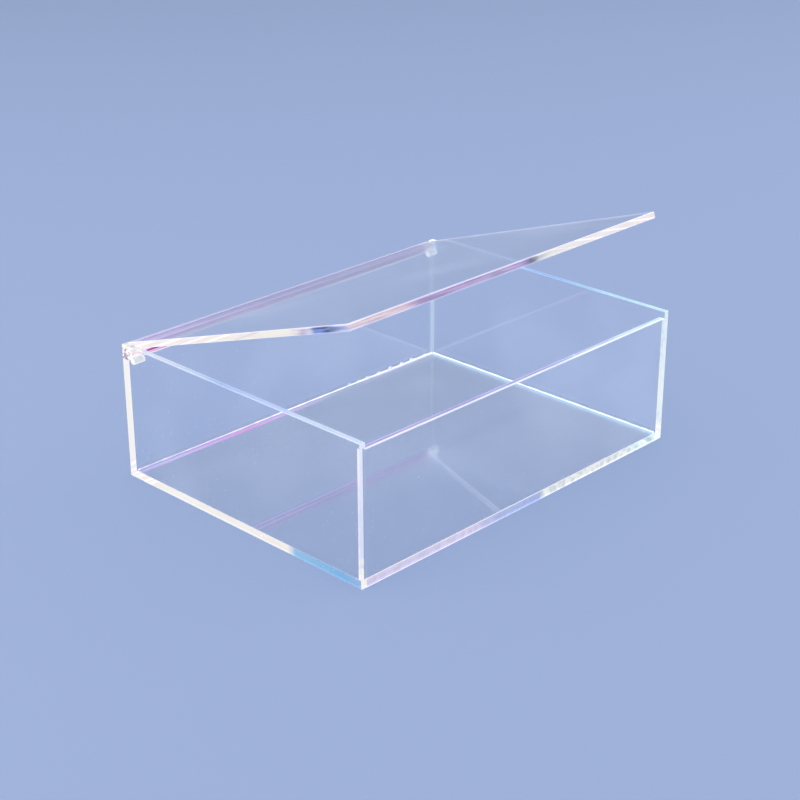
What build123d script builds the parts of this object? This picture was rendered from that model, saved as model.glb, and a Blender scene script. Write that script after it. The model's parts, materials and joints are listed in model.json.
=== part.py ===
from build123d import *
import os

# A clear acrylic storage box with a hinged lid, in millimetres.
# X runs along the hinge, the front is towards -Y and +Z is up.
# The origin is the middle of the underside.

# The box, over its outer faces
box_length = 217.0
box_depth = 162.0
box_height = 70.0
sheet_thickness = 3.2
edge_ease = 0.25

# The lid lies between the side walls, with its top level with theirs
lid_side_gap = 0.5
lid_rest_gap = 0.1
lid_open_angle = 18.5

# The round rod under the lid's rear edge turns on a pin at each end
rod_diameter = 5.0
rod_flat_depth = 0.4
rod_wall_gap = 0.5
pin_diameter = 2.4
pin_reach = 6.0
pin_running_gap = 0.05
pin_wall_gap = 0.02
pin_end_gap = 0.6

# A short peg on each side wall, just under the rod's end
peg_diameter = 3.2
peg_length = 6.5
peg_rod_gap = 0.4
peg_angle = 37.0

# Holes are cut this much past the faces they open on
cut_overrun = 1.0

half_length = box_length / 2
half_depth = box_depth / 2
inner_length = box_length - 2 * sheet_thickness
inner_depth = box_depth - 2 * sheet_thickness
lid_length = inner_length - 2 * lid_side_gap
lid_underside = box_height - sheet_thickness
rod_radius = rod_diameter / 2
axis_y = half_depth - rod_radius
axis_z = lid_underside - rod_radius + rod_flat_depth
rear_wall_top = axis_z - rod_radius - rod_wall_gap
front_wall_top = lid_underside - lid_rest_gap


def eased(block, *faces):
    """The block with the edges of these faces taken off at 45 degrees."""
    rims = [edge for face in faces for edge in face.edges()]
    chosen = [edge for edge in block.edges() if edge in rims]
    return chamfer(chosen, edge_ease)


def far_face(block, axis, side):
    """The block's last face along an axis, or its first where side is -1."""
    return block.faces().sort_by(axis)[-1 if side > 0 else 0]


def rod_along_x(diameter, start_x, end_x, y, z):
    """A round bar from start_x to end_x."""
    length = abs(end_x - start_x)
    bar = Cylinder(diameter / 2, length, rotation=(0, 90, 0))
    return Pos((start_x + end_x) / 2, y, z) * bar


def base_panel():
    """The floor, held between the four walls."""
    return Pos(0, 0, sheet_thickness / 2) * Box(inner_length, inner_depth, sheet_thickness)


def side_wall(side):
    """A full-depth end wall with the hole for its hinge pin."""
    centre_x = side * (half_length - sheet_thickness / 2)
    block = Pos(centre_x, 0, box_height / 2) * Box(sheet_thickness, box_depth, box_height)
    block = eased(block, far_face(block, Axis.X, side), far_face(block, Axis.Z, 1))
    hole_start = side * (half_length - sheet_thickness - cut_overrun)
    hole_end = side * (half_length + cut_overrun)
    hole_diameter = pin_diameter + 2 * pin_wall_gap
    return block - rod_along_x(hole_diameter, hole_start, hole_end, axis_y, axis_z)


def long_wall(side, top):
    """A wall between the side walls, at the front (-1) or the rear (1)."""
    centre_y = side * (half_depth - sheet_thickness / 2)
    block = Pos(0, centre_y, top / 2) * Box(inner_length, sheet_thickness, top)
    return eased(block, far_face(block, Axis.Z, 1))


def opened(piece):
    """A piece of the lid, turned from closed to the angle that it rests at."""
    hinge = Axis((0, axis_y, axis_z), (-1, 0, 0))
    return piece.rotate(hinge, lid_open_angle)


def lid_panel():
    """The lid's flat panel, as deep as the box."""
    centre_z = lid_underside + sheet_thickness / 2
    block = Pos(0, 0, centre_z) * Box(lid_length, box_depth, sheet_thickness)
    ends = [far_face(block, Axis.Z, 1), far_face(block, Axis.Z, -1)]
    return opened(eased(block, *ends))


def hinge_rod():
    """The rod, with a flat that is cemented to the lid and a bore in each end."""
    rod = rod_along_x(rod_diameter, -lid_length / 2, lid_length / 2, axis_y, axis_z)
    flat = Box(lid_length + 2 * cut_overrun, rod_diameter + 2 * cut_overrun, rod_diameter)
    rod -= Pos(0, axis_y, lid_underside + rod_diameter / 2) * flat
    bore_diameter = pin_diameter + 2 * pin_running_gap
    bore_depth = pin_reach + pin_end_gap
    for side in (-1, 1):
        bore_start = side * (lid_length / 2 - bore_depth)
        bore_end = side * (lid_length / 2 + cut_overrun)
        rod -= rod_along_x(bore_diameter, bore_start, bore_end, axis_y, axis_z)
    return opened(rod)


def hinge_pin(side):
    """A pin through the side wall, level with its outer face."""
    pin_start = side * (lid_length / 2 - pin_reach)
    return rod_along_x(pin_diameter, pin_start, side * half_length, axis_y, axis_z)


def support_peg(side):
    """A stub on the side wall's inner face, in front of the rod and under it."""
    reach = rod_radius + peg_rod_gap + peg_diameter / 2
    away = Vector(0, -reach, 0).rotate(Axis.X, peg_angle)
    peg_start = side * (half_length - sheet_thickness)
    peg_end = peg_start - side * peg_length
    peg = rod_along_x(peg_diameter, peg_start, peg_end, axis_y + away.Y, axis_z + away.Z)
    return eased(peg, far_face(peg, Axis.X, -side))


pieces = {
    "base_panel": base_panel(),
    "front_wall": long_wall(-1, front_wall_top),
    "rear_wall": long_wall(1, rear_wall_top),
    "lid_panel": lid_panel(),
    "hinge_rod": hinge_rod(),
}
for name, side in (("left", -1), ("right", 1)):
    pieces[name + "_wall"] = side_wall(side)
    pieces[name + "_hinge_pin"] = hinge_pin(side)
    pieces[name + "_support_peg"] = support_peg(side)

os.makedirs("parts", exist_ok=True)
for name, piece in pieces.items():
    export_step(piece, "parts/" + name + ".step")
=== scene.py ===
import bpy
import json
import math
import numpy as np
from mathutils import Matrix, Vector


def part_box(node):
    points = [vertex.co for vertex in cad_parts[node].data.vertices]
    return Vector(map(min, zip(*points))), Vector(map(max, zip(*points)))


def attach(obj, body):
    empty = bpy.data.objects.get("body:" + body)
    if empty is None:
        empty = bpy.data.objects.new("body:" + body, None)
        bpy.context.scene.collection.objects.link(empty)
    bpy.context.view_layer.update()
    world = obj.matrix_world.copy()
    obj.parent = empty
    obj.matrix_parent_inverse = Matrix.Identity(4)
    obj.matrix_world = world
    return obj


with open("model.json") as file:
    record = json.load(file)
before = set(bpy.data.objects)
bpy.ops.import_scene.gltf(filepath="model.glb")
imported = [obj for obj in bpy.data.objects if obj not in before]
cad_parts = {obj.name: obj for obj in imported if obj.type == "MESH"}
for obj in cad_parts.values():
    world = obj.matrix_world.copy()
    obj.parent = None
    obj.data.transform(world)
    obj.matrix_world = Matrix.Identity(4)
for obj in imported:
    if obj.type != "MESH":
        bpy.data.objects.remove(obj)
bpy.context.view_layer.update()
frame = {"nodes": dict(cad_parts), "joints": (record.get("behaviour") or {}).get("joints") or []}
nodes = frame["nodes"]
print("frame loaded:", len(nodes), "nodes")

# Lengths here are in metres, in the frame's own axes
boxLow = Vector(map(min, *(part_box(name)[0] for name in ("left_wall", "right_wall"))))
boxHigh = Vector(map(max, *(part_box(name)[1] for name in ("left_wall", "right_wall"))))
baseLow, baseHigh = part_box("base_panel")
sheetThickness = baseHigh.z - baseLow.z
hinge = frame["joints"][0]
pivot = Vector(hinge["pos_m"])


camera = {
    "place": (-0.5673, -0.5517, 0.3811),  # from the middle of the underside
    "azimuth": -45.69,  # 0 looks along +Y
    "elevation": 23.84,
    "roll": -0.17,
    "lens": 78.2,  # this and the sensor are in millimetres
    "sensorWidth": 36.0,
    "shift": (0.0019, -0.0013),
    "clip": (0.01, 50.0),
}


def addCamera(settings):
    data = bpy.data.cameras.new("camera")
    data.lens = settings["lens"]
    data.sensor_width = settings["sensorWidth"]
    data.shift_x, data.shift_y = settings["shift"]
    data.clip_start, data.clip_end = settings["clip"]
    eye = bpy.data.objects.new("camera", data)
    turn = Matrix.Rotation(math.radians(settings["azimuth"]), 4, "Z")
    tilt = Matrix.Rotation(math.radians(90.0 - settings["elevation"]), 4, "X")
    roll = Matrix.Rotation(math.radians(settings["roll"]), 4, "Z")
    eye.matrix_world = Matrix.Translation(settings["place"]) @ turn @ tilt @ roll
    bpy.context.scene.collection.objects.link(eye)
    bpy.context.scene.camera = eye


addCamera(camera)


black = (0.0, 0.0, 0.0)


def nodeTree(name):
    material = bpy.data.materials.new(name)
    material.use_nodes = True
    tree = material.node_tree
    tree.nodes.clear()
    return material, tree, tree.nodes.new("ShaderNodeOutputMaterial")


def feed(tree, socket, value):
    # a number or colour is set on the socket, and another node's output is linked to it
    if isinstance(value, bpy.types.NodeSocket):
        tree.links.new(value, socket)
    elif isinstance(value, (int, float)):
        socket.default_value = value
    else:
        wide = len(socket.default_value) == 4
        socket.default_value = (*value, 1.0) if wide else tuple(value)


def mathNode(tree, operation, first, second=0.0):
    node = tree.nodes.new("ShaderNodeMath")
    node.operation = operation
    feed(tree, node.inputs[0], first)
    feed(tree, node.inputs[1], second)
    return node.outputs[0]


def product(tree, first, *others):
    for other in others:
        first = mathNode(tree, "MULTIPLY", first, other)
    return first


def vectorNode(tree, operation, first, second=(0.0, 0.0, 0.0)):
    node = tree.nodes.new("ShaderNodeVectorMath")
    node.operation = operation
    feed(tree, node.inputs[0], first)
    feed(tree, node.inputs[1], second)
    return node.outputs[0]


def vectorNumber(tree, operation, first, second=(0.0, 0.0, 0.0)):
    # the same for a dot product or a length, which is a number
    return vectorNode(tree, operation, first, second).node.outputs["Value"]


def mixColour(tree, factor, first, second, kind="MIX"):
    node = tree.nodes.new("ShaderNodeMix")
    node.data_type = "RGBA"
    node.blend_type = kind
    feed(tree, node.inputs["Factor"], factor)
    feed(tree, node.inputs["A"], first)
    feed(tree, node.inputs["B"], second)
    return node.outputs["Result"]


def mixNumber(tree, factor, first, second):
    node = tree.nodes.new("ShaderNodeMix")
    feed(tree, node.inputs["Factor"], factor)
    feed(tree, node.inputs["A"], first)
    feed(tree, node.inputs["B"], second)
    return node.outputs["Result"]


def mixShader(tree, factor, first, second):
    node = tree.nodes.new("ShaderNodeMixShader")
    for socket, value in zip(node.inputs, (factor, first, second)):
        tree.links.new(value, socket)
    return node.outputs[0]


def axisParts(tree, vector):
    node = tree.nodes.new("ShaderNodeSeparateXYZ")
    tree.links.new(vector, node.inputs[0])
    return node.outputs


def smoothStep(tree, value, low, high):
    # from 0 at low to 1 at high, with no corner at either
    node = tree.nodes.new("ShaderNodeMapRange")
    node.interpolation_type = "SMOOTHSTEP"
    for label, amount in (("Value", value), ("From Min", low), ("From Max", high)):
        feed(tree, node.inputs[label], amount)
    return node.outputs["Result"]


def alongEdge(tree, value, stops):
    # each stop: a place along the edge, the colour there, and a share from 0 to 1 of another effect
    ramp = tree.nodes.new("ShaderNodeValToRGB")
    start, length = stops[0][0], stops[-1][0] - stops[0][0]
    elements = ramp.color_ramp.elements
    for element, stop in zip(elements, (stops[0], stops[-1])):
        element.color = (*stop[1], stop[2])
    for place, colour, share in stops[1:-1]:
        elements.new((place - start) / length).color = (*colour, share)
    along = mathNode(tree, "SUBTRACT", value, start)
    feed(tree, ramp.inputs["Fac"], mathNode(tree, "DIVIDE", along, length))
    return ramp.outputs["Color"], ramp.outputs["Alpha"]


def noiseNode(tree, place, scale, detail=2.0):
    node = tree.nodes.new("ShaderNodeTexNoise")
    node.inputs["Scale"].default_value = scale
    node.inputs["Detail"].default_value = detail
    tree.links.new(place, node.inputs["Vector"])
    return node.outputs["Fac"]


def cloudMask(tree, place, scale, span, detail=2.0):
    # 0 where the noise is under the span and 1 where it is over it
    return smoothStep(tree, noiseNode(tree, place, scale, detail), *span)


def fromAxis(tree, place, centre):
    # the shortest way to here from a line along X through the centre
    return vectorNode(tree, "MULTIPLY", vectorNode(tree, "SUBTRACT", place, centre), (0.0, 1.0, 1.0))


def newGroup(name, inputs, outputs):
    group = bpy.data.node_groups.new(name, "ShaderNodeTree")
    for label, kind in inputs.items():
        group.interface.new_socket(label, in_out="INPUT", socket_type="NodeSocket" + kind)
    for label, kind in outputs.items():
        group.interface.new_socket(label, in_out="OUTPUT", socket_type="NodeSocket" + kind)
    given = group.nodes.new("NodeGroupInput").outputs
    made = group.nodes.new("NodeGroupOutput").inputs
    return group, given, made


def placeGroup(tree, group, **values):
    node = tree.nodes.new("ShaderNodeGroup")
    node.node_tree = group
    for label, value in values.items():
        feed(tree, node.inputs[label], value)
    return node.outputs


studio = {
    "floorColour": (0.40, 0.50, 0.74),
    "floorRoughness": 0.6,
    "floorRadius": 12.0,
    "floorCorners": 64,
    "floorDrop": 0.0001,  # under the box, so that no two faces share a place
    "worldColour": (0.80, 0.86, 1.0),
    "worldStrength": 0.55,
    "key": {"place": (-0.9, 0.5, 1.5), "size": 3.2, "power": 35.0},
    "fill": {"place": (1.4, -0.6, 1.1), "size": 2.2, "power": 18.0},
    "lampMiddle": (0.5, 0.5, 0.0),
    "lampFade": (0.5, 0.28),  # widths from a lamp's middle where its light ends and is full
}


def paleGround(settings):
    material, tree, output = nodeTree("paleGround")
    matt = tree.nodes.new("ShaderNodeBsdfPrincipled")
    matt.inputs["Base Color"].default_value = (*settings["floorColour"], 1.0)
    matt.inputs["Roughness"].default_value = settings["floorRoughness"]
    tree.links.new(matt.outputs["BSDF"], output.inputs["Surface"])
    return material


def addFloor(settings):
    bpy.ops.mesh.primitive_circle_add(
        vertices=settings["floorCorners"], radius=settings["floorRadius"], fill_type="NGON")
    floor = bpy.context.object
    floor.name = "floor"
    floor.location.z = boxLow.z - settings["floorDrop"]
    floor.data.materials.append(paleGround(settings))


def addLamp(name, settings):
    # a softbox, whose light fades out from its middle
    own = settings[name]
    data = bpy.data.lights.new(name, "AREA")
    data.shape = "SQUARE"
    data.size = own["size"]
    data.energy = own["power"]
    data.use_nodes = True
    tree = data.node_tree
    onLamp = tree.nodes.new("ShaderNodeNewGeometry").outputs["Parametric"]
    away = vectorNumber(tree, "DISTANCE", onLamp, settings["lampMiddle"])
    strength = smoothStep(tree, away, *settings["lampFade"])
    feed(tree, tree.nodes["Emission"].inputs["Strength"], strength)
    lamp = bpy.data.objects.new(name, data)
    lamp.location = own["place"]
    lamp.rotation_euler = (-Vector(own["place"])).to_track_quat("-Z", "Y").to_euler()
    bpy.context.scene.collection.objects.link(lamp)


def addWorld(settings):
    world = bpy.data.worlds.new("studio")
    world.use_nodes = True
    background = world.node_tree.nodes["Background"]
    background.inputs["Color"].default_value = (*settings["worldColour"], 1.0)
    background.inputs["Strength"].default_value = settings["worldStrength"]
    bpy.context.scene.world = world


addFloor(studio)
addLamp("key", studio)
addLamp("fill", studio)
addWorld(studio)
bpy.context.scene.view_settings.view_transform = "Standard"
print("studio ready")


def insideBoxGroup():
    # how far a place lies inside a box: the least of (half size - |place - centre|) over the axes
    inputs = {"place": "Vector", "centre": "Vector", "halfSize": "Vector"}
    group, given, made = newGroup("insideBox", inputs, {"depth": "Float"})
    apart = vectorNode(group, "SUBTRACT", given["place"], given["centre"])
    inset = vectorNode(group, "SUBTRACT", given["halfSize"], vectorNode(group, "ABSOLUTE", apart))
    parts = axisParts(group, inset)
    nearer = mathNode(group, "MINIMUM", parts[0], parts[1])
    group.links.new(mathNode(group, "MINIMUM", nearer, parts[2]), made["depth"])
    return group


cutEdge = {
    "streakSpan": (0.40, 0.62),  # noise from here to there darkens from nothing to all
    "streakDetail": 3.0,
    "lineSoftness": 0.2,  # of half the sheet's thickness
}


def cutEdgeGroup(settings):
    # a sawn and flame-polished edge, with painted reflection colours, a painted highlight line along each
    # arris and streaks between them
    inputs = {
        "place": "Vector",
        "grain": "Vector",  # how often the streaks change along each axis
        "across": "Float",  # -1 at the inner arris and 1 at the outer one
        "edge": "Float",  # 1 on the cut
        "streaks": "Float",
        "clearTint": "Color",
        "cutTint": "Color",
        "faceGlow": "Color",
        "outerFrom": "Float",  # how far out from the middle each line starts
        "innerFrom": "Float",
        "outerLine": "Color",
        "innerLine": "Color",
    }
    group, given, made = newGroup("cutEdge", inputs, {"tint": "Color", "glow": "Color"})
    grained = vectorNode(group, "MULTIPLY", given["place"], given["grain"])
    streak = cloudMask(group, grained, 1.0, settings["streakSpan"], settings["streakDetail"])
    kept = mathNode(group, "SUBTRACT", 1.0, product(group, streak, given["streaks"]))
    cut = mixColour(group, 1.0, given["cutTint"], kept, "MULTIPLY")
    group.links.new(mixColour(group, given["edge"], given["clearTint"], cut), made["tint"])

    glow = mixColour(group, 1.0, given["faceGlow"], kept, "MULTIPLY")
    for side, label in ((1.0, "outer"), (-1.0, "inner")):
        start = given[label + "From"]
        full = mathNode(group, "ADD", start, settings["lineSoftness"])
        line = smoothStep(group, product(group, given["across"], side), start, full)
        glow = mixColour(group, line, glow, given[label + "Line"])
    group.links.new(mixColour(group, given["edge"], black, glow), made["glow"])
    return group


wearAndGlintSettings = {
    "offset": (0.0013, 0.0021, 0.0017),  # keeps the cells' borders off the sheets' faces
    "pickedShare": 0.6,  # of a cell's width, where its one mark may lie
    "noiseMiddle": (0.5, 0.5, 0.5),
    "dustCell": 0.003,  # at most one speck in a cell this wide
    "dustRadius": 0.00026,
    "dustShare": 0.10,  # of the cells
    "dustRoughness": 0.6,
    "scratchCell": 0.042,
    "scratchWidth": 0.00009,
    "scratchShare": 0.45,
    "scratchFade": (0.4, 0.15),  # cell widths from its point where one ends and is whole
    "scratchRoughness": 0.4,
    "scratchGlow": 0.4,
    "smudgeScale": 15.0,
    "smudgeDetail": 1.0,
    "smudgeSpan": (0.5, 0.7),
    "smudgeGlow": 0.06,
    "waveScale": 9.0,
    "waveDetail": 0.0,
}


def scattered(group, place, cell, settings):
    # the way to here from a point picked in this cell, and the white noise that picked it
    spot = vectorNode(group, "ADD", place, settings["offset"])
    spot = vectorNode(group, "MULTIPLY", spot, (1 / cell,) * 3)
    corner = vectorNode(group, "FLOOR", spot)
    chance = group.nodes.new("ShaderNodeTexWhiteNoise")
    group.links.new(corner, chance.inputs["Vector"])
    share = settings["pickedShare"]
    picked = vectorNode(group, "MULTIPLY", chance.outputs["Color"], (share,) * 3)
    picked = vectorNode(group, "ADD", picked, ((1 - share) / 2,) * 3)
    fromCorner = vectorNode(group, "SUBTRACT", spot, corner)
    return vectorNode(group, "SUBTRACT", fromCorner, picked), chance.outputs


def dustMask(group, given, settings):
    away, chance = scattered(group, given["place"], settings["dustCell"], settings)
    radius = settings["dustRadius"] / settings["dustCell"]
    grain = smoothStep(group, vectorNumber(group, "LENGTH", away), radius, radius / 2)
    share = product(group, given["dust"], settings["dustShare"])
    return product(group, grain, mathNode(group, "LESS_THAN", chance["Value"], share))


def scratchMask(group, given, settings):
    # where the plane through the cell's point that faces a random way cuts the sheet
    away, chance = scattered(group, given["place"], settings["scratchCell"], settings)
    facing = vectorNode(group, "SUBTRACT", chance["Color"], settings["noiseMiddle"])
    facing = vectorNode(group, "NORMALIZE", facing)
    offLine = mathNode(group, "ABSOLUTE", vectorNumber(group, "DOT_PRODUCT", away, facing))
    line = smoothStep(group, offLine, settings["scratchWidth"] / settings["scratchCell"], 0.0)
    fade = smoothStep(group, vectorNumber(group, "LENGTH", away), *settings["scratchFade"])
    chosen = mathNode(group, "LESS_THAN", chance["Value"], settings["scratchShare"])
    return product(group, line, fade, chosen, given["scratches"])


def wearAndGlintGroup(settings):
    # hairline scratches, dust and smudges on a sheet, with painted glints on them, and the slow waves of
    # a cast one
    inputs = {"place": "Vector", "scratches": "Float", "dust": "Float", "smudges": "Float"}
    outputs = {"roughness": "Float", "height": "Float", "paintedGlints": "Float"}
    group, given, made = newGroup("wearAndGlintLook", inputs, outputs)
    dust = dustMask(group, given, settings)
    scratch = scratchMask(group, given, settings)
    cloud = cloudMask(group, given["place"], settings["smudgeScale"], settings["smudgeSpan"],
                      settings["smudgeDetail"])
    rough = product(group, cloud, given["smudges"])
    for mark, label in ((scratch, "scratchRoughness"), (dust, "dustRoughness")):
        rough = mathNode(group, "ADD", rough, product(group, mark, settings[label]))
    group.links.new(rough, made["roughness"])
    waves = noiseNode(group, given["place"], settings["waveScale"], settings["waveDetail"])
    group.links.new(waves, made["height"])
    # painted glints: the dust specks, scratches and smudges glow
    paintedGlints = dust
    for mark, label in ((scratch, "scratchGlow"), (cloud, "smudgeGlow")):
        paintedGlints = mathNode(group, "MAXIMUM", paintedGlints, product(group, mark, settings[label]))
    group.links.new(paintedGlints, made["paintedGlints"])
    return group


insideBox = insideBoxGroup()
cutEdgeLook = cutEdgeGroup(cutEdge)
wearAndGlintLook = wearAndGlintGroup(wearAndGlintSettings)
print("shared effects ready")


acrylic = {
    "tint": (0.985, 0.99, 1.0),
    "bend": 1.49,
    "shadowTint": (0.95, 0.96, 0.97),
    "longestPath": 8.5,  # bounces of all kinds, or
    "mostReflections": 3.5,  # reflections, after which light counts as trapped in the sheet
    "cutFrom": 0.00005,  # how far in from its rim a sheet stops looking cut
    "cutTo": 0.0003,
    "patchSkin": 0.00002,  # how far from a joint a face still belongs to it
    "patchFrom": 1e-9,  # the depth in a patch from which a place is in it
    "waveHeight": 0.00004,
    "speckGlow": (0.20, 0.22, 0.24),
    "trappedScale": 26.0,  # how often the light in the sheet changes colour
    "mottleScale": 330.0,  # and how often its fine mottle does
    "mottleDetail": 1.0,
    "mottleShare": 0.35,
    "trappedSpan": (0.38, 0.62),
}
endless = 1.0  # a half size that keeps an axis out of a rim
frameAxes = ((0.0, 0.0, 0.0), 0.0)


def ownPlace(tree, ownFrame):
    # Object coordinates turned into the axes of a sheet that stands in the frame at an angle
    where = tree.nodes.new("ShaderNodeTexCoord")
    own = tree.nodes.new("ShaderNodeMapping")
    own.vector_type = "TEXTURE"
    own.inputs["Location"].default_value = ownFrame[0]
    own.inputs["Rotation"].default_value = (ownFrame[1], 0.0, 0.0)
    tree.links.new(where.outputs["Object"], own.inputs["Vector"])
    return own.outputs[0]


def boxDepth(tree, place, centre, half):
    return placeGroup(tree, insideBox, place=place, centre=centre, halfSize=half)["depth"]


def clearAcrylic(tree, output, place, look):
    # look: tint and glow over the surface, two colours of trapped light, welded patches, and the amounts
    # of wear marks, which also carry painted glints
    glass = tree.nodes.new("ShaderNodeBsdfPrincipled")
    marks = placeGroup(tree, wearAndGlintLook, place=place, scratches=look["scratches"],
                       dust=look["dust"], smudges=look["smudges"])
    feed(tree, glass.inputs["Base Color"], look["tint"])
    glass.inputs["IOR"].default_value = acrylic["bend"]
    glass.inputs["Transmission Weight"].default_value = 1.0
    glass.inputs["Emission Strength"].default_value = 1.0
    feed(tree, glass.inputs["Roughness"], mathNode(tree, "ADD", marks["roughness"], look["roughness"]))
    # the painted glow over the surface, with painted glints on the marks
    lit = mixColour(tree, marks["paintedGlints"], look["glow"], acrylic["speckGlow"])
    feed(tree, glass.inputs["Emission Color"], lit)
    bump = tree.nodes.new("ShaderNodeBump")
    bump.inputs["Distance"].default_value = acrylic["waveHeight"]
    feed(tree, bump.inputs["Height"], marks["height"])
    feed(tree, glass.inputs["Normal"], bump.outputs[0])

    if look["patches"]:
        welded = 0.0
        for centre, half in look["patches"]:
            welded = mathNode(tree, "MAXIMUM", welded, boxDepth(tree, place, centre, half))
        feed(tree, glass.inputs["Alpha"], mathNode(tree, "LESS_THAN", welded, acrylic["patchFrom"]))

    trapped = tree.nodes.new("ShaderNodeEmission")
    feed(tree, trapped.inputs["Color"], trappedLight(tree, place, *look["trapped"]))
    path = tree.nodes.new("ShaderNodeLightPath").outputs
    deep = mathNode(tree, "GREATER_THAN", path["Ray Depth"], acrylic["longestPath"])
    piped = mathNode(tree, "GREATER_THAN", path["Glossy Depth"], acrylic["mostReflections"])
    lost = mathNode(tree, "MAXIMUM", deep, piped)
    kept = mixShader(tree, lost, glass.outputs["BSDF"], trapped.outputs[0])

    through = tree.nodes.new("ShaderNodeBsdfTransparent")
    through.inputs["Color"].default_value = (*acrylic["shadowTint"], 1.0)
    lamps = mathNode(tree, "MAXIMUM", path["Is Shadow Ray"], path["Is Diffuse Ray"])
    tree.links.new(mixShader(tree, lamps, kept, through.outputs[0]), output.inputs["Surface"])


def trappedLight(tree, place, first, second):
    # the light inside a sheet, from the first colour to the second
    slow = noiseNode(tree, place, acrylic["trappedScale"])
    fine = noiseNode(tree, place, acrylic["mottleScale"], acrylic["mottleDetail"])
    spread = mixNumber(tree, acrylic["mottleShare"], slow, fine)
    return mixColour(tree, smoothStep(tree, spread, *acrylic["trappedSpan"]), first, second)


def rimMask(tree, place, centre, half):
    # 1 on the outermost faces of a box, along the axes on which its half size isn't endless
    return smoothStep(tree, boxDepth(tree, place, centre, half), acrylic["cutTo"], acrylic["cutFrom"])


def dress(name, material):
    for slot in nodes[name].material_slots:
        slot.material = material


def jointPatch(first, second, skin):
    # where two sheets touch: the overlap of their boxes, which has no thickness
    lowA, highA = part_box(first)
    lowB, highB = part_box(second)
    low, high = Vector(map(max, lowA, lowB)), Vector(map(min, highA, highB))
    if min(high - low) < -skin:
        return None
    return (low + high) / 2, (high - low) / 2 + Vector((skin,) * 3)


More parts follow.
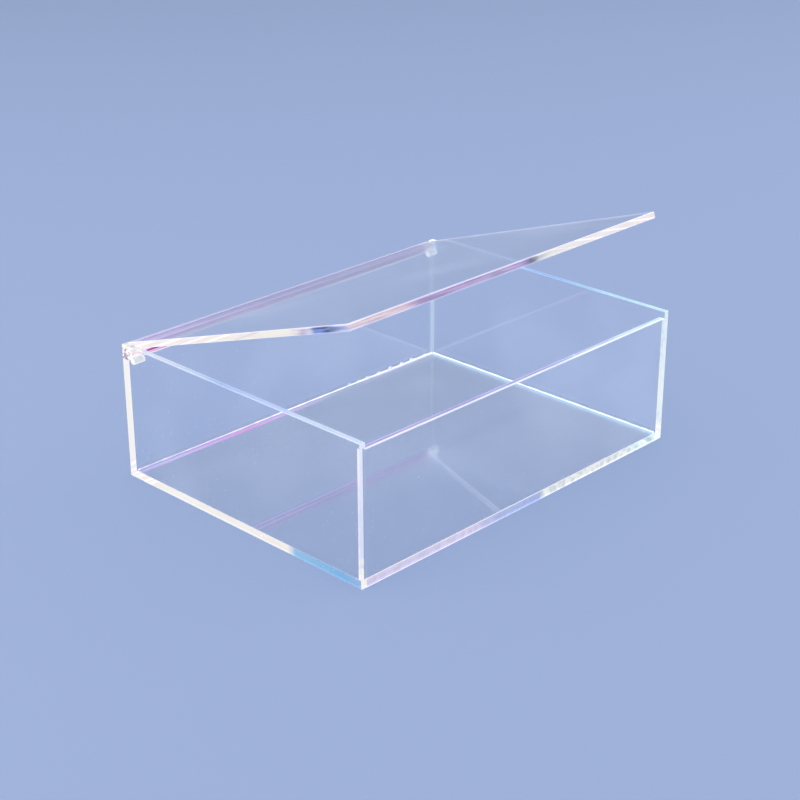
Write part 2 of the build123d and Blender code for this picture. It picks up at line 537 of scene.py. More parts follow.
walls = {
    "wearAndGlints": {"scratches": 0.7, "dust": 1.0, "smudges": 0.03, "roughness": 0.0},
    "alongGrain": 30.0,
    "acrossGrain": 1500.0,
    "outsideFrom": 0.97,  # of the way from the middle of the sheet to its outer face
    "footLineHeight": 0.0009,  # of the bright line along the foot of each outer face
    "footSoftness": 0.0003,
    "blotchSpan": (0.42, 0.62),
    "ringFadeShare": 1 / 3,  # of its inner radius, how far past the middle a half ring fades out
    "hingeReach": 0.008,  # from the corner at the hinge, where the side walls' cuts shine
    "hingeDrop": (0.0030, 0.0012),  # how far below the top that fades out and is full
    "cornerWidth": 0.0020,  # of the upright line of light where a side wall meets the rear wall
    "cornerSoftness": 0.0005,
    "shared": {
        "footGrain": (75.0, 75.0, 300.0),  # of the blotches in the light along the foot
        "footBlotch": (0.80, 0.78, 0.80),
        "footRise": 0.0014,  # how far above the base panel its light still shows
    },
    "front_wall": {
        "outward": -1, "axis": 1,  # the axis across the sheet, and which way along it is outward
        "streaks": 0.45,
        "cutStops": (  # the top cut's painted reflection colours, with how much of the face's glow it has
            (-0.105, (0.30, 0.28, 0.66), 0.0), (0.020, (0.28, 0.36, 0.75), 0.0),
            (0.055, (0.45, 0.68, 1.0), 0.8), (0.105, (0.60, 0.90, 1.0), 1.0),
        ),
        "faceGlow": (0.16, 0.24, 0.22),
        "outerFrom": 0.2, "outerLine": (0.46, 0.46, 0.46),
        "innerFrom": 0.45, "innerLine": (0.26, 0.20, 0.38),
        "footStops": (  # the foot of the outer face, with how blotchy it is
            (-0.105, (0.54, 0.48, 0.88), 0.4), (-0.070, (0.46, 0.44, 0.88), 0.4),
            (-0.040, (0.56, 0.50, 0.92), 0.5), (-0.020, (0.22, 0.30, 0.78), 0.3),
            (0.0, (0.16, 0.26, 0.75), 0.2), (0.0115, (0.17, 0.27, 0.76), 0.3),
            (0.0150, (0.84, 0.94, 0.97), 1.0), (0.105, (0.86, 0.96, 0.98), 1.0),
        ),
        "footGrain": (400.0, 400.0, 170.0),
        "footBlotch": (0.54, 0.58, 0.60),
        "footRise": 0.0009,
        "footLine": (0.03, 0.02, 0.04),
        "trapped": ((0.74, 0.76, 0.96), (0.90, 0.86, 0.95)),
    },
    "rear_wall": {
        "outward": 1, "axis": 1, "streaks": 0.30,
        "cutStops": ((-0.105, (0.70, 0.65, 0.85), 1.0), (0.105, (0.70, 0.65, 0.85), 1.0)),
        "faceGlow": (0.02, 0.02, 0.03),
        "outerFrom": 0.5, "outerLine": (0.15, 0.13, 0.20),
        "innerFrom": 0.5, "innerLine": (0.20, 0.18, 0.24),
        "footStops": ((-0.105, (1.0, 0.92, 0.86), 0.5), (0.105, (0.90, 0.88, 0.95), 0.5)),
        "footLine": (0.05, 0.05, 0.06),
        "trapped": ((0.97, 0.95, 0.88), (0.96, 0.94, 0.95)),
    },
    "left_wall": {
        "outward": -1, "axis": 0, "streaks": 0.20,
        "cutStops": (
            (-0.081, (0.80, 0.98, 1.0), 1.0), (-0.068, (0.96, 0.97, 1.0), 1.0),
            (-0.050, (0.68, 0.94, 1.0), 1.0), (-0.030, (0.52, 0.62, 1.0), 1.0),
            (0.010, (0.36, 0.54, 1.0), 1.0), (0.032, (0.64, 0.80, 1.0), 1.0),
            (0.055, (1.0, 0.94, 0.92), 1.0), (0.081, (1.0, 1.0, 0.94), 1.0),
        ),
        "faceGlow": (0.02, 0.03, 0.05),
        "outerFrom": 0.6, "outerLine": (0.08, 0.12, 0.16),
        "innerFrom": 0.6, "innerLine": (0.05, 0.08, 0.16),
        "footStops": (
            (-0.081, (0.12, 0.30, 0.80), 0.5), (-0.070, (0.05, 0.27, 0.78), 0.3),
            (-0.0385, (0.10, 0.34, 0.77), 0.3),
            (-0.0335, (1.0, 0.98, 0.92), 0.3), (0.081, (1.0, 0.97, 0.92), 0.3),
        ),
        "footLine": (0.04, 0.04, 0.06),
        "ring": (0.0022, 0.0031),  # round the hinge's axis, where a dark ring of painted shade lies on this wall
        "ringSide": 1.0,  # the rear half, or the front one where it is -1
        "ringFaces": (-1.0,),  # the inner face, and 1 for the outer one
        # painted shade: a dark ring round the rod's end
        "ringTint": (0.10, 0.05, 0.08), "ringGlow": black,
        "hingeTint": (0.96, 0.93, 0.82), "hingeGlow": (0.11, 0.09, 0.06),
        "trapped": ((0.69, 0.76, 0.98), (0.77, 0.83, 0.96)),
    },
    "right_wall": {
        "outward": 1, "axis": 0, "streaks": 0.20,
        "cutStops": (
            (-0.081, (0.66, 0.98, 1.0), 1.0), (-0.042, (0.58, 0.94, 1.0), 1.0),
            (-0.030, (0.30, 0.66, 1.0), 0.7), (0.0, (0.22, 0.40, 1.0), 0.5),
            (0.050, (0.60, 0.66, 1.0), 1.0), (0.081, (0.80, 0.80, 0.95), 1.0),
        ),
        "faceGlow": (0.05, 0.10, 0.10),
        "outerFrom": 0.5, "outerLine": (0.14, 0.18, 0.24),
        "innerFrom": 0.4, "innerLine": (0.16, 0.22, 0.28),
        "footStops": ((-0.081, (0.86, 0.95, 0.94), 1.0), (0.081, (0.92, 0.90, 0.92), 0.5)),
        "footGrain": (240.0, 240.0, 450.0),
        "footLine": (0.05, 0.06, 0.07),
        "ring": (0.0019, 0.0035), "ringSide": -1.0, "ringFaces": (-1.0, 1.0),
        # painted highlight: a pale, glowing ring round the hinge's axis
        "ringTint": (0.80, 0.97, 1.0), "ringGlow": (0.42, 0.58, 0.64),
        "hingeTint": (0.90, 0.94, 0.96), "hingeGlow": (0.24, 0.26, 0.27),
        "cornerGlow": (0.10, 0.145, 0.11),
        "trapped": ((0.58, 0.73, 0.95), (0.82, 0.90, 0.90)),
    },
}
boxSheets = ("base_panel", "front_wall", "rear_wall", "left_wall", "right_wall")
rearLow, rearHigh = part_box("rear_wall")


def weldedTo(name):
    touching = [jointPatch(name, other, acrylic["patchSkin"]) for other in boxSheets if other != name]
    return [patch for patch in touching if patch]


def footLook(tree, place, across, own):
    # the light that leaves the base panel through the foot of a wall, and the line below it
    parts = axisParts(tree, place)
    tint, share = alongEdge(tree, parts[1 - own["axis"]], own["footStops"])
    grained = vectorNode(tree, "MULTIPLY", place, own["footGrain"])
    blotches = product(tree, cloudMask(tree, grained, 1.0, walls["blotchSpan"]), share)
    tint = mixColour(tree, blotches, tint, mixColour(tree, 1.0, tint, own["footBlotch"], "MULTIPLY"))
    outside = mathNode(tree, "GREATER_THAN", across, walls["outsideFrom"])
    soft = walls["footSoftness"]
    top = baseHigh.z + own["footRise"]
    foot = smoothStep(tree, parts[2], top, top - soft)
    line = smoothStep(tree, parts[2], walls["footLineHeight"] + soft, walls["footLineHeight"] - soft)
    glow = mixColour(tree, product(tree, line, outside), black, own["footLine"])
    return product(tree, foot, outside), tint, glow


def paintedHingeRing(tree, place, across, own):
    # the rear or front half of a painted ring round the hinge's axis, on the inner face, the outer one or
    # both
    low, high = own["ring"]
    away = fromAxis(tree, place, pivot)
    radius = vectorNumber(tree, "LENGTH", away)
    soft = acrylic["cutTo"]
    inner = smoothStep(tree, radius, low, low + soft)
    outer = smoothStep(tree, radius, high, high - soft)
    toward = product(tree, axisParts(tree, away)[1], own["ringSide"])
    fade = low * walls["ringFadeShare"]
    onFace = 0.0
    for face in own["ringFaces"]:
        here = mathNode(tree, "GREATER_THAN", product(tree, across, face), walls["outsideFrom"])
        onFace = mathNode(tree, "MAXIMUM", onFace, here)
    return product(tree, inner, outer, smoothStep(tree, toward, -fade, fade), onFace)


def hingeShine(tree, place, rim):
    # the rear top corner of a side wall, on its cuts and just below them
    y, z = axisParts(tree, place)[1:]
    reach = walls["hingeReach"]
    end = smoothStep(tree, y, boxHigh.y - acrylic["cutTo"], boxHigh.y - acrylic["cutFrom"])
    nearRear = smoothStep(tree, y, boxHigh.y - reach, boxHigh.y - reach / 2)
    nearTop = smoothStep(tree, z, boxHigh.z - reach, boxHigh.z - reach / 2)
    below = smoothStep(tree, z, *(boxHigh.z - drop for drop in walls["hingeDrop"]))
    shine = mathNode(tree, "MAXIMUM", below, mathNode(tree, "MAXIMUM", end, rim))
    return product(tree, nearRear, nearTop, shine)


def cornerLine(tree, place, across):
    # on a side wall's outer face behind the end of the rear wall, and on its own rear end
    y, z = axisParts(tree, place)[1:]
    soft, width = walls["cornerSoftness"], walls["cornerWidth"]
    start, top = rearLow.y, rearHigh.z
    outside = mathNode(tree, "GREATER_THAN", across, walls["outsideFrom"])
    line = product(tree, smoothStep(tree, y, start, start + soft),
                   smoothStep(tree, y, start + soft + width, start + width), outside)
    end = mathNode(tree, "GREATER_THAN", y, boxHigh.y - acrylic["cutFrom"])
    return product(tree, mathNode(tree, "MAXIMUM", line, end), smoothStep(tree, z, top, top - soft))


def dressWall(name, own):
    material, tree, output = nodeTree(name + "Acrylic")
    place = ownPlace(tree, frameAxes)
    low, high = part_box(name)
    centre, half = (low + high) / 2, (high - low) / 2
    rim = rimMask(tree, place, centre, Vector((endless, endless, half.z)))
    axis = own["axis"]
    grain = Vector((walls["alongGrain"],) * 3)
    grain[axis] = walls["acrossGrain"]
    offset = mathNode(tree, "SUBTRACT", axisParts(tree, place)[axis], centre[axis])
    across = product(tree, offset, own["outward"] / half[axis])
    # painted reflection colours along the top cut
    cutTint, share = alongEdge(tree, axisParts(tree, place)[1 - axis], own["cutStops"])
    edgeLabels = ("streaks", "outerFrom", "outerLine", "innerFrom", "innerLine")
    cut = placeGroup(tree, cutEdgeLook, place=place, grain=grain, across=across, edge=rim,
                     clearTint=acrylic["tint"], cutTint=cutTint,
                     faceGlow=mixColour(tree, share, black, own["faceGlow"]),
                     **{label: own[label] for label in edgeLabels})
    foot, footTint, footGlow = footLook(tree, place, across, own)
    tint = mixColour(tree, foot, cut["tint"], footTint)
    glow = mixColour(tree, 1.0, cut["glow"], footGlow, "ADD")
    if axis == 0:
        masks = {"ring": paintedHingeRing(tree, place, across, own), "hinge": hingeShine(tree, place, rim)}
        for label, mask in masks.items():
            tint = mixColour(tree, mask, tint, own[label + "Tint"])
            glow = mixColour(tree, mask, glow, own[label + "Glow"])
    if "cornerGlow" in own:
        glow = mixColour(tree, cornerLine(tree, place, across), glow, own["cornerGlow"], "ADD")
    look = {"tint": tint, "glow": glow, "patches": weldedTo(name), "trapped": own["trapped"]}
    clearAcrylic(tree, output, place, {**look, **walls["wearAndGlints"]})
    dress(name, material)


for name in boxSheets[1:]:
    dressWall(name, {**walls["shared"], **walls[name]})
print("walls dressed")


base = {
    "wearAndGlints": {"scratches": 0.7, "dust": 1.6, "smudges": 0.04, "roughness": 0.0},
    "trapped": ((0.95, 0.93, 0.89), (0.93, 0.92, 0.92)),
    "faceSkin": 0.0002,
    "seamReach": 0.0028,  # how far the glow of a seam runs in over the panel's top
    "rearSeam": ((-0.105, black, 0.0), (0.048, black, 0.0), (0.066, (0.22, 0.21, 0.29), 1.0),
                 (0.105, (0.28, 0.28, 0.34), 1.0)),
    "rightSeam": (0.20, 0.30, 0.30),
    "stripReach": 0.0024,  # and how far the light below the seam does, on its underside
    "stripSoftness": 0.0008,
    "rearStrip": (
        (-0.105, (0.22, 0.13, 0.28), 1.0), (-0.070, (0.36, 0.13, 0.32), 1.0),
        (-0.035, (0.50, 0.0, 0.24), 1.0), (-0.012, (0.34, 0.08, 0.26), 1.0),
        (0.015, (0.08, 0.06, 0.12), 1.0), (0.035, black, 1.0), (0.105, black, 1.0),
    ),
    "rearStripTint": (
        (-0.105, (1.0, 0.75, 1.0), 1.0), (-0.070, (1.0, 0.60, 1.0), 1.0),
        (-0.035, (0.90, 0.25, 0.75), 1.0), (-0.012, (1.0, 0.55, 1.0), 1.0),
        (0.020, (1.0, 0.96, 1.0), 1.0), (0.105, (1.0, 0.96, 1.0), 1.0),
    ),
    "rightStrip": (0.14, 0.28, 0.32),
    "rightStripSoftness": 0.0024,
}


def seamGlow(tree, x, y, settings):
    # on the panel's top
    reach = settings["seamReach"]
    rear = smoothStep(tree, y, baseHigh.y - reach, baseHigh.y - reach / 2)
    right = smoothStep(tree, x, baseHigh.x - reach, baseHigh.x)
    glow = mixColour(tree, rear, black, alongEdge(tree, x, settings["rearSeam"])[0])
    return mixColour(tree, right, glow, settings["rightSeam"])


def stripLook(tree, x, y, settings):
    # on its underside
    near, soft = settings["stripReach"], settings["stripSoftness"]
    rear = smoothStep(tree, y, baseHigh.y - near, baseHigh.y - near + soft)
    right = smoothStep(tree, x, baseHigh.x - near, baseHigh.x - near + settings["rightStripSoftness"])
    tint = mixColour(tree, rear, acrylic["tint"], alongEdge(tree, x, settings["rearStripTint"])[0])
    glow = mixColour(tree, rear, black, alongEdge(tree, x, settings["rearStrip"])[0])
    return tint, mixColour(tree, right, glow, settings["rightStrip"])


def dressBase(settings):
    material, tree, output = nodeTree("baseAcrylic")
    place = ownPlace(tree, frameAxes)
    x, y, z = axisParts(tree, place)
    skin = settings["faceSkin"]
    top = smoothStep(tree, z, baseHigh.z - skin, baseHigh.z - skin / 2)
    underside = smoothStep(tree, z, baseLow.z + skin, baseLow.z + skin / 2)
    glow = mixColour(tree, top, black, seamGlow(tree, x, y, settings))
    stripTint, stripGlow = stripLook(tree, x, y, settings)
    glow = mixColour(tree, underside, glow, stripGlow)
    tint = mixColour(tree, underside, acrylic["tint"], stripTint)
    look = {"tint": tint, "glow": glow, "patches": weldedTo("base_panel"), "trapped": settings["trapped"]}
    clearAcrylic(tree, output, place, {**look, **settings["wearAndGlints"]})
    dress("base_panel", material)


dressBase(base)
print("base dressed")


lid = {
    "wearAndGlints": {"scratches": 1.0, "dust": 1.0, "smudges": 0.03, "roughness": 0.0},
    "grain": (45.0, 90.0, 1100.0),
    "leftStops": (  # the left edge's painted reflection colours from the front corner to the hinge, with how streaky it is
        (-0.081, (0.32, 0.40, 0.88), 0.5), (-0.073, (0.16, 0.28, 0.90), 0.7),
        (-0.066, (0.04, 0.10, 0.60), 0.95), (-0.059, (0.03, 0.08, 0.50), 0.95),
        (-0.056, (0.45, 0.52, 0.82), 0.7), (-0.051, (0.42, 0.38, 0.64), 0.6),
        (-0.047, (0.78, 0.72, 0.80), 0.25), (-0.042, (0.90, 0.88, 0.81), 0.08),
        (0.081, (0.90, 0.87, 0.82), 0.08),
    ),
    "frontStops": (  # and the front edge's, from its left end to its right
        (-0.105, (0.55, 0.44, 0.70), 0.5), (-0.088, (0.68, 0.52, 0.70), 0.5),
        (-0.072, (0.74, 0.54, 0.78), 0.55), (-0.062, (0.22, 0.16, 0.53), 0.5),
        (-0.030, (0.22, 0.16, 0.50), 0.6), (-0.015, (0.24, 0.20, 0.56), 0.5),
        (-0.006, (0.36, 0.30, 0.74), 0.6), (0.004, (0.22, 0.16, 0.50), 0.7),
        (0.0115, (0.04, 0.03, 0.12), 0.8), (0.0140, (0.12, 0.14, 0.26), 0.7),
        (0.0175, (0.44, 0.56, 0.70), 0.4), (0.026, (0.74, 0.76, 0.82), 0.15),
        (0.105, (0.80, 0.74, 0.80), 0.15),
    ),
    # the rear edge's painted reflection colour
    "rearCut": (0.50, 0.22, 0.52),
    "rearStreaks": 0.5,
    "faceGlow": (0.03, 0.02, 0.03),
    "topLine": (0.38, 0.36, 0.44),
    "underLine": (0.10, 0.12, 0.25),
    "faintLine": (0.07, 0.06, 0.07),  # both, where the edge is white
    "faintBelow": (0.15, 0.5),  # the streakiness from which they are faint and full
    "lineFrom": 0.58,
    "arrisReach": 0.0010,  # how far the glow of an arris runs in over the sheet's faces
    "arrisGlow": (0.34, 0.33, 0.50),
    "rodFlat": 0.00135,  # half the width of the flat that the rod is cemented by
    "trapped": ((0.95, 0.94, 0.88), (0.94, 0.90, 0.91)),
}
lidTurn = math.radians(hinge["range_deg"][0])
closed = Vector((0.0, (boxHigh.y + boxLow.y) / 2, boxHigh.z - sheetThickness / 2))
lidCentre = pivot + Matrix.Rotation(lidTurn, 3, "X") @ (closed - pivot)
lidFrame = (lidCentre, lidTurn)
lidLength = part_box("lid_panel")[1].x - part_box("lid_panel")[0].x
lidHalf = Vector((lidLength / 2, (boxHigh.y - boxLow.y) / 2, endless))
flatHalf = Vector((lidLength, lid["rodFlat"], acrylic["patchSkin"]))
flatPatch = (Vector((0.0, pivot.y - closed.y, -sheetThickness / 2)), flatHalf)


def lidCut(tree, x, y, settings):
    # the painted reflection colours of the cut edges, and how streaky each is
    skin = acrylic["cutTo"]
    leftFace = smoothStep(tree, x, skin - lidHalf.x, skin / 2 - lidHalf.x)
    rearFace = smoothStep(tree, y, lidHalf.y - skin, lidHalf.y - skin / 2)
    leftTint, leftStreaks = alongEdge(tree, y, settings["leftStops"])
    tint, streaks = alongEdge(tree, x, settings["frontStops"])
    tint = mixColour(tree, rearFace, tint, settings["rearCut"])
    streaks = mixNumber(tree, rearFace, streaks, settings["rearStreaks"])
    return mixColour(tree, leftFace, tint, leftTint), mixNumber(tree, leftFace, streaks, leftStreaks)


def dressLid(settings):
    material, tree, output = nodeTree("lidAcrylic")
    place = ownPlace(tree, lidFrame)
    x, y, z = axisParts(tree, place)
    cutTint, streaks = lidCut(tree, x, y, settings)
    rim = rimMask(tree, place, black, lidHalf)
    full = smoothStep(tree, streaks, *settings["faintBelow"])
    topLine, underLine = (mixColour(tree, full, settings["faintLine"], settings[label])
                          for label in ("topLine", "underLine"))
    cut = placeGroup(tree, cutEdgeLook, place=place, grain=settings["grain"], edge=rim, streaks=streaks,
                     across=product(tree, z, 2 / sheetThickness),
                     clearTint=acrylic["tint"], cutTint=cutTint, faceGlow=settings["faceGlow"],
                     outerFrom=settings["lineFrom"], outerLine=topLine,
                     innerFrom=settings["lineFrom"], innerLine=underLine)
    depth = boxDepth(tree, place, black, lidHalf)
    arris = smoothStep(tree, depth, settings["arrisReach"], settings["arrisReach"] / 2)
    arris = product(tree, arris, mathNode(tree, "SUBTRACT", 1.0, rim))
    glow = mixColour(tree, arris, cut["glow"], settings["arrisGlow"])
    look = {"tint": cut["tint"], "glow": glow, "patches": [flatPatch], "trapped": settings["trapped"]}
    clearAcrylic(tree, output, place, {**look, **settings["wearAndGlints"]})
    dress("lid_panel", material)


dressLid(lid)
print("lid dressed")


rod = {
    "wearAndGlints": {"scratches": 0.6, "dust": 0.6, "smudges": 0.02, "roughness": 0.0},
    "reflectionGrain": (5.0, 1300.0, 1300.0),  # painted lines of reflection along the rod
    "reflectionDetail": 1.0,
    "paleSpan": (0.46, 0.58),  # noise from here to there is painted mauve to pale, and then a painted bright line
    "lineSpan": (0.54, 0.60),
    "mauve": (0.17, 0.02, 0.13),
    "pale": (0.66, 0.38, 0.62),
    "glow": (0.05, 0.015, 0.03),
    "lineGlow": (0.50, 0.32, 0.42),
    # the cream tint and clouded glow of the bored ends are a painted shine
    "boredTint": (0.95, 0.93, 0.86),
    "boreGlow": (0.14, 0.135, 0.11),
    "boreReach": (0.0080, 0.0050),  # how far in the bored ends shine, fading out and in full
    "cloudScale": 600.0,
    "cloudSpan": (0.35, 0.6),
    "ringFrom": (0.0012, 0.0016),  # from the axis, where the end's bright ring starts round the pin
    "ringTint": (0.85, 0.78, 0.62),
    "ringGlow": (0.17, 0.16, 0.13),
    # painted shade on the hub inside the ring
    "hubTint": (0.42, 0.36, 0.34),
    "trapped": ((0.72, 0.70, 0.70), (0.66, 0.58, 0.76)),
}
rodCentre = pivot - closed


def rodEnd(tree, place, settings):
    # the flat end: a painted bright ring round the pin's hole, with painted shade on the hub
    radius = vectorNumber(tree, "LENGTH", fromAxis(tree, place, rodCentre))
    ring = smoothStep(tree, radius, *settings["ringFrom"])
    tint = mixColour(tree, ring, settings["hubTint"], settings["ringTint"])
    return tint, mixColour(tree, ring, black, settings["ringGlow"])


def dressRod(settings):
    material, tree, output = nodeTree("rodAcrylic")
    place = ownPlace(tree, lidFrame)
    # painted streaks and bright lines, standing in for the clear rod's reflections
    reflectionStreaks = noiseNode(tree, vectorNode(tree, "MULTIPLY", place, settings["reflectionGrain"]), 1.0,
                      settings["reflectionDetail"])
    pale = smoothStep(tree, reflectionStreaks, *settings["paleSpan"])
    tint = mixColour(tree, pale, settings["mauve"], settings["pale"])
    line = smoothStep(tree, reflectionStreaks, *settings["lineSpan"])
    glow = mixColour(tree, line, settings["glow"], settings["lineGlow"])
    inward = mathNode(tree, "ABSOLUTE", axisParts(tree, place)[0])
    fading, full = (lidLength / 2 - reach for reach in settings["boreReach"])
    bored = smoothStep(tree, inward, fading, full)
    cloud = cloudMask(tree, place, settings["cloudScale"], settings["cloudSpan"])
    tint = mixColour(tree, bored, tint, settings["boredTint"])
    glow = mixColour(tree, product(tree, bored, cloud), glow, settings["boreGlow"])
    end = rimMask(tree, place, black, Vector((lidLength / 2, endless, endless)))
    endTint, endGlow = rodEnd(tree, place, settings)
    look = {"tint": mixColour(tree, end, tint, endTint), "glow": mixColour(tree, end, glow, endGlow),
            "patches": [flatPatch], "trapped": settings["trapped"]}
    clearAcrylic(tree, output, place, {**look, **settings["wearAndGlints"]})
    dress("hinge_rod", material)


dressRod(rod)
print("rod dressed")


pin = {
    "wearAndGlints": {"scratches": 0.3, "dust": 0.3, "smudges": 0.1, "roughness": 0.2},
    # a grey tint painted as shade on the clear pins
    "tint": (0.66, 0.60, 0.58),
    "cloudScale": 700.0,
    "cloudSpan": (0.35, 0.65),
    "dim": black,
    "bright": (0.05, 0.05, 0.04),
    "rightGlow": black,  # more on the right one
    "trapped": ((0.44, 0.42, 0.40), (0.56, 0.56, 0.58)),
}
peg = {
    "wearAndGlints": {"scratches": 0.3, "dust": 0.3, "smudges": 0.1, "roughness": 0.3},
    # pale cream with a painted glow, for the bright lump at each end of the hinge
    "tint": (0.85, 0.82, 0.74),
    "cloudScale": 500.0,
    "cloudSpan": (0.35, 0.65),
    "dim": (0.17, 0.165, 0.14),
    "bright": (0.23, 0.225, 0.20),
    "rightGlow": (0.12, 0.13, 0.14),
    "trapped": ((0.58, 0.58, 0.54), (0.52, 0.57, 0.60)),
}


def dressStubs(label, settings):
    # the one at each end
    material, tree, output = nodeTree(label + "Acrylic")
    place = ownPlace(tree, frameAxes)
    cloud = cloudMask(tree, place, settings["cloudScale"], settings["cloudSpan"])
    right = mathNode(tree, "GREATER_THAN", axisParts(tree, place)[0], 0.0)
    # painted glow, in clouds, with more on the right one
    glow = mixColour(tree, cloud, settings["dim"], settings["bright"])
    glow = mixColour(tree, right, glow, settings["rightGlow"], "ADD")
    look = {"tint": settings["tint"], "glow": glow, "patches": [], "trapped": settings["trapped"]}
    clearAcrylic(tree, output, place, {**look, **settings["wearAndGlints"]})
    for side in ("left_", "right_"):
        dress(side + label, material)


dressStubs("hinge_pin", pin)
dressStubs("support_peg", peg)
print("pins and pegs dressed")


cement = {
    "wearAndGlints": {"scratches": 0.0, "dust": 0.0, "smudges": 0.0, "roughness": 0.05},
    "tint": (0.95, 0.95, 1.0),
    "gap": 0.000005,  # between the bead and the faces that it lies on
    "radius": {"rear": 0.00040, "right": 0.00046, "left": 0.0003, "front": 0.0003},
    "waves": ((420.0, 0.0), (1130.0, 1.3)),  # along the bead, how fast each turns and where it starts
    "swell": 0.3,  # how much thicker or thinner they make it
    "arcSteps": 5,
    "stepLength": 0.0015,
    "endInset": 2.0,  # in radii, how far a bead's ends stay off the corners
    "glowReach": (8.0, 4.0),  # rear bead's radii from a corner where its glow ends and is full
    "cloudScale": 160.0,
    "cloudSpan": (0.38, 0.62),
    "rearStops": (  # its glow along the rear seam from the left
        (-0.105, (0.12, 0.11, 0.26), 1.0), (-0.050, (0.24, 0.16, 0.28), 1.0),
        (0.0, (0.24, 0.22, 0.32), 1.0), (0.030, (0.22, 0.28, 0.32), 1.0),
        (0.105, (0.26, 0.30, 0.32), 1.0),
    ),
    "rightGlow": (0.28, 0.32, 0.32),
    "dimmed": (0.6, 0.6, 0.65),  # the share of the painted glow that is left in the noise's patches
    "quiet": (0.02, 0.02, 0.03),  # along the left and front seams
    "bubbleGlow": (0.09, 0.11, 0.13),
    "trapped": ((0.92, 0.92, 0.94), (0.92, 0.92, 0.94)),
    "bubbleFromLeft": (0.0388, 0.0457, 0.0529, 0.0613, 0.0708, 0.0797, 0.0878, 0.0985),
    "bubbleRise": (0.0014, 0.0012, 0.0010, 0.0013, 0.0011, 0.0013, 0.0012, 0.0010),
    "bubbleSize": (0.8, 0.6, 1.0, 0.7, 1.2, 0.9, 1.1, 0.6),
    "bubbleHalf": (0.0014, 0.0004, 0.0007),
    "bubbleRings": 7,
    "bubbleSectors": 12,
}


def cementMaterial(settings):
    material, tree, output = nodeTree("cement")
    place = ownPlace(tree, frameAxes)
    x, y, z = axisParts(tree, place)
    fading, full = (settings["radius"]["rear"] * reach for reach in settings["glowReach"])
    rear = smoothStep(tree, y, baseHigh.y - fading, baseHigh.y - full)
    right = smoothStep(tree, x, baseHigh.x - fading, baseHigh.x - full)
    cloud = cloudMask(tree, place, settings["cloudScale"], settings["cloudSpan"])
    glow = mixColour(tree, rear, settings["quiet"], alongEdge(tree, x, settings["rearStops"])[0])
    glow = mixColour(tree, right, glow, settings["rightGlow"])
    glow = mixColour(tree, cloud, mixColour(tree, 1.0, glow, settings["dimmed"], "MULTIPLY"), glow)
    aboveBead = settings["radius"]["rear"] * (1 + settings["swell"]) + baseHigh.z
    bubble = mathNode(tree, "GREATER_THAN", z, aboveBead)
    glow = mixColour(tree, bubble, glow, settings["bubbleGlow"])
    look = {"tint": settings["tint"], "glow": glow, "patches": [], "trapped": settings["trapped"]}
    clearAcrylic(tree, output, place, {**look, **settings["wearAndGlints"]})
    return material


def addPiece(name, points, faces, material, body):
    mesh = bpy.data.meshes.new(name)
    mesh.from_pydata(points.tolist(), [], faces)
    mesh.materials.append(material)
    mesh.polygons.foreach_set("use_smooth", np.ones(len(mesh.polygons), bool))
    mesh.update()
    piece = bpy.data.objects.new(name, mesh)
    bpy.context.scene.collection.objects.link(piece)
    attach(piece, body)
    return piece


def beadSurface(origin, end, outOfWall, thickness, settings):
    # at each step t along the seam from origin to end, a section whose corner is the seam, whose two
    # sides lie on wall and floor, and whose front is a quarter circle hollowed towards the corner
    run = end - origin
    length = np.linalg.norm(run)
    steps = int(length / settings["stepLength"]) + 1
    t = np.linspace(0.0, 1.0, steps)
    waves = [np.sin(t * length * speed + start) for speed, start in settings["waves"]]
    radius = thickness * (1.0 + settings["swell"] * np.mean(waves, axis=0))
    turn = np.linspace(0.0, math.pi / 2, settings["arcSteps"])
    outward = np.concatenate(([0.0], 1.0 - np.sin(turn)))  # from the wall, as a share of the radius
    upward = np.concatenate(([0.0], 1.0 - np.cos(turn)))
    section = outward[:, None] * outOfWall + upward[:, None] * np.array((0.0, 0.0, 1.0))
    seam = origin + t[:, None] * run
    sections = seam[:, None, :] + radius[:, None, None] * section[None, :, :]
    across = len(outward)
    rows, columns = np.meshgrid(np.arange(steps - 1), np.arange(across), indexing="ij")
    first, after = rows * across + columns, rows * across + (columns + 1) % across
    quads = np.stack((first, after, after + across, first + across), axis=-1).reshape(-1, 4)
    caps = [list(range(across))[::-1], list(range((steps - 1) * across, steps * across))]
    return sections.reshape(-1, 3), quads.tolist() + caps


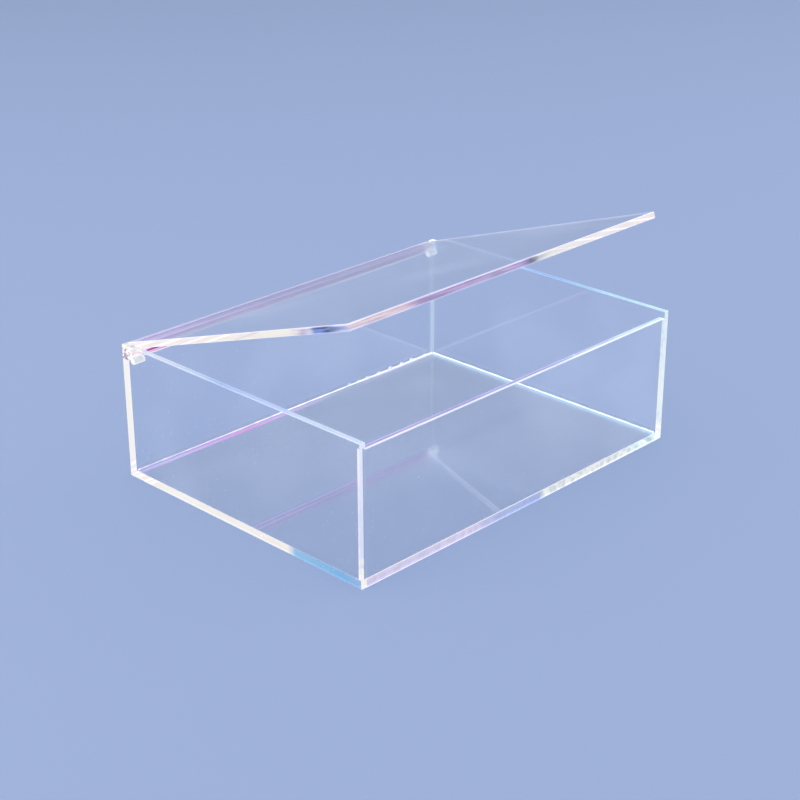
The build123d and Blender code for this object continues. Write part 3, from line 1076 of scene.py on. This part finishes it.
def bubbleSurface(settings, wallFace):
    # for ring angle a from pole to pole and sector angle b, the place is
    # centre + (rx sin a cos b, ry cos a, rz sin a sin b)
    rx, ry, rz = settings["bubbleHalf"]
    rings, sectors = settings["bubbleRings"], settings["bubbleSectors"]
    a = np.linspace(0.0, math.pi, rings + 2)[1:-1, None]
    b = np.linspace(0.0, 2 * math.pi, sectors, endpoint=False)[None, :]
    shell = np.stack((rx * np.sin(a) * np.cos(b), ry * np.cos(a) * np.ones_like(b),
                      rz * np.sin(a) * np.sin(b)), axis=-1)
    poles = np.array(((0.0, ry, 0.0), (0.0, -ry, 0.0)))
    one = np.concatenate((shell.reshape(-1, 3), poles))
    across, size = np.array(settings["bubbleFromLeft"]), np.array(settings["bubbleSize"])
    middle = np.stack((across, wallFace - ry * size - settings["gap"],
                       baseHigh.z + np.array(settings["bubbleRise"])), axis=-1)
    points = (middle[:, None, :] + size[:, None, None] * one[None, :, :]).reshape(-1, 3)
    r, s = np.meshgrid(np.arange(rings - 1), np.arange(sectors), indexing="ij")
    here, beside = r * sectors + s, r * sectors + (s + 1) % sectors
    quads = np.stack((here, here + sectors, beside + sectors, beside), axis=-1).reshape(-1, 4)
    s = np.arange(sectors)
    last, top, bottom = (rings - 1) * sectors, rings * sectors, rings * sectors + 1
    firstFan = np.stack((np.full(sectors, top), s, (s + 1) % sectors), axis=-1)
    lastFan = np.stack((np.full(sectors, bottom), last + (s + 1) % sectors, last + s), axis=-1)
    shift = (np.arange(len(across)) * len(one))[:, None, None]
    faces = []
    for part in (quads, firstFan, lastFan):
        faces += (shift + part[None, :, :]).reshape(-1, part.shape[1]).tolist()
    return points, faces


def outwardFaces(piece):
    # turns a closed piece's faces to point outwards
    bpy.context.view_layer.objects.active = piece
    bpy.ops.object.select_all(action="DESELECT")
    piece.select_set(True)
    bpy.ops.object.mode_set(mode="EDIT")
    bpy.ops.mesh.select_all(action="SELECT")
    bpy.ops.mesh.normals_make_consistent(inside=False)
    bpy.ops.object.mode_set(mode="OBJECT")


def addCement(settings):
    material = cementMaterial(settings)
    gap = settings["gap"]
    low, high = baseLow, baseHigh
    z = high.z + gap
    corners = {
        "rear": ((low.x, high.y - gap, z), (high.x, high.y - gap, z), (0.0, -1.0, 0.0)),
        "front": ((low.x, low.y + gap, z), (high.x, low.y + gap, z), (0.0, 1.0, 0.0)),
        "left": ((low.x + gap, low.y, z), (low.x + gap, high.y, z), (1.0, 0.0, 0.0)),
        "right": ((high.x - gap, low.y, z), (high.x - gap, high.y, z), (-1.0, 0.0, 0.0)),
    }
    for side, (start, end, outOfWall) in corners.items():
        start, end, outOfWall = map(np.array, (start, end, outOfWall))
        thickness = settings["radius"][side]
        inset = (end - start) / np.linalg.norm(end - start) * settings["endInset"] * thickness
        points, faces = beadSurface(start + inset, end - inset, outOfWall, thickness, settings)
        outwardFaces(addPiece("cement_bead_" + side, points, faces, material, "box"))
    points, faces = bubbleSurface(settings, high.y)
    outwardFaces(addPiece("cement_bubbles", points, faces, material, "box"))


addCement(cement)
print("cement added")
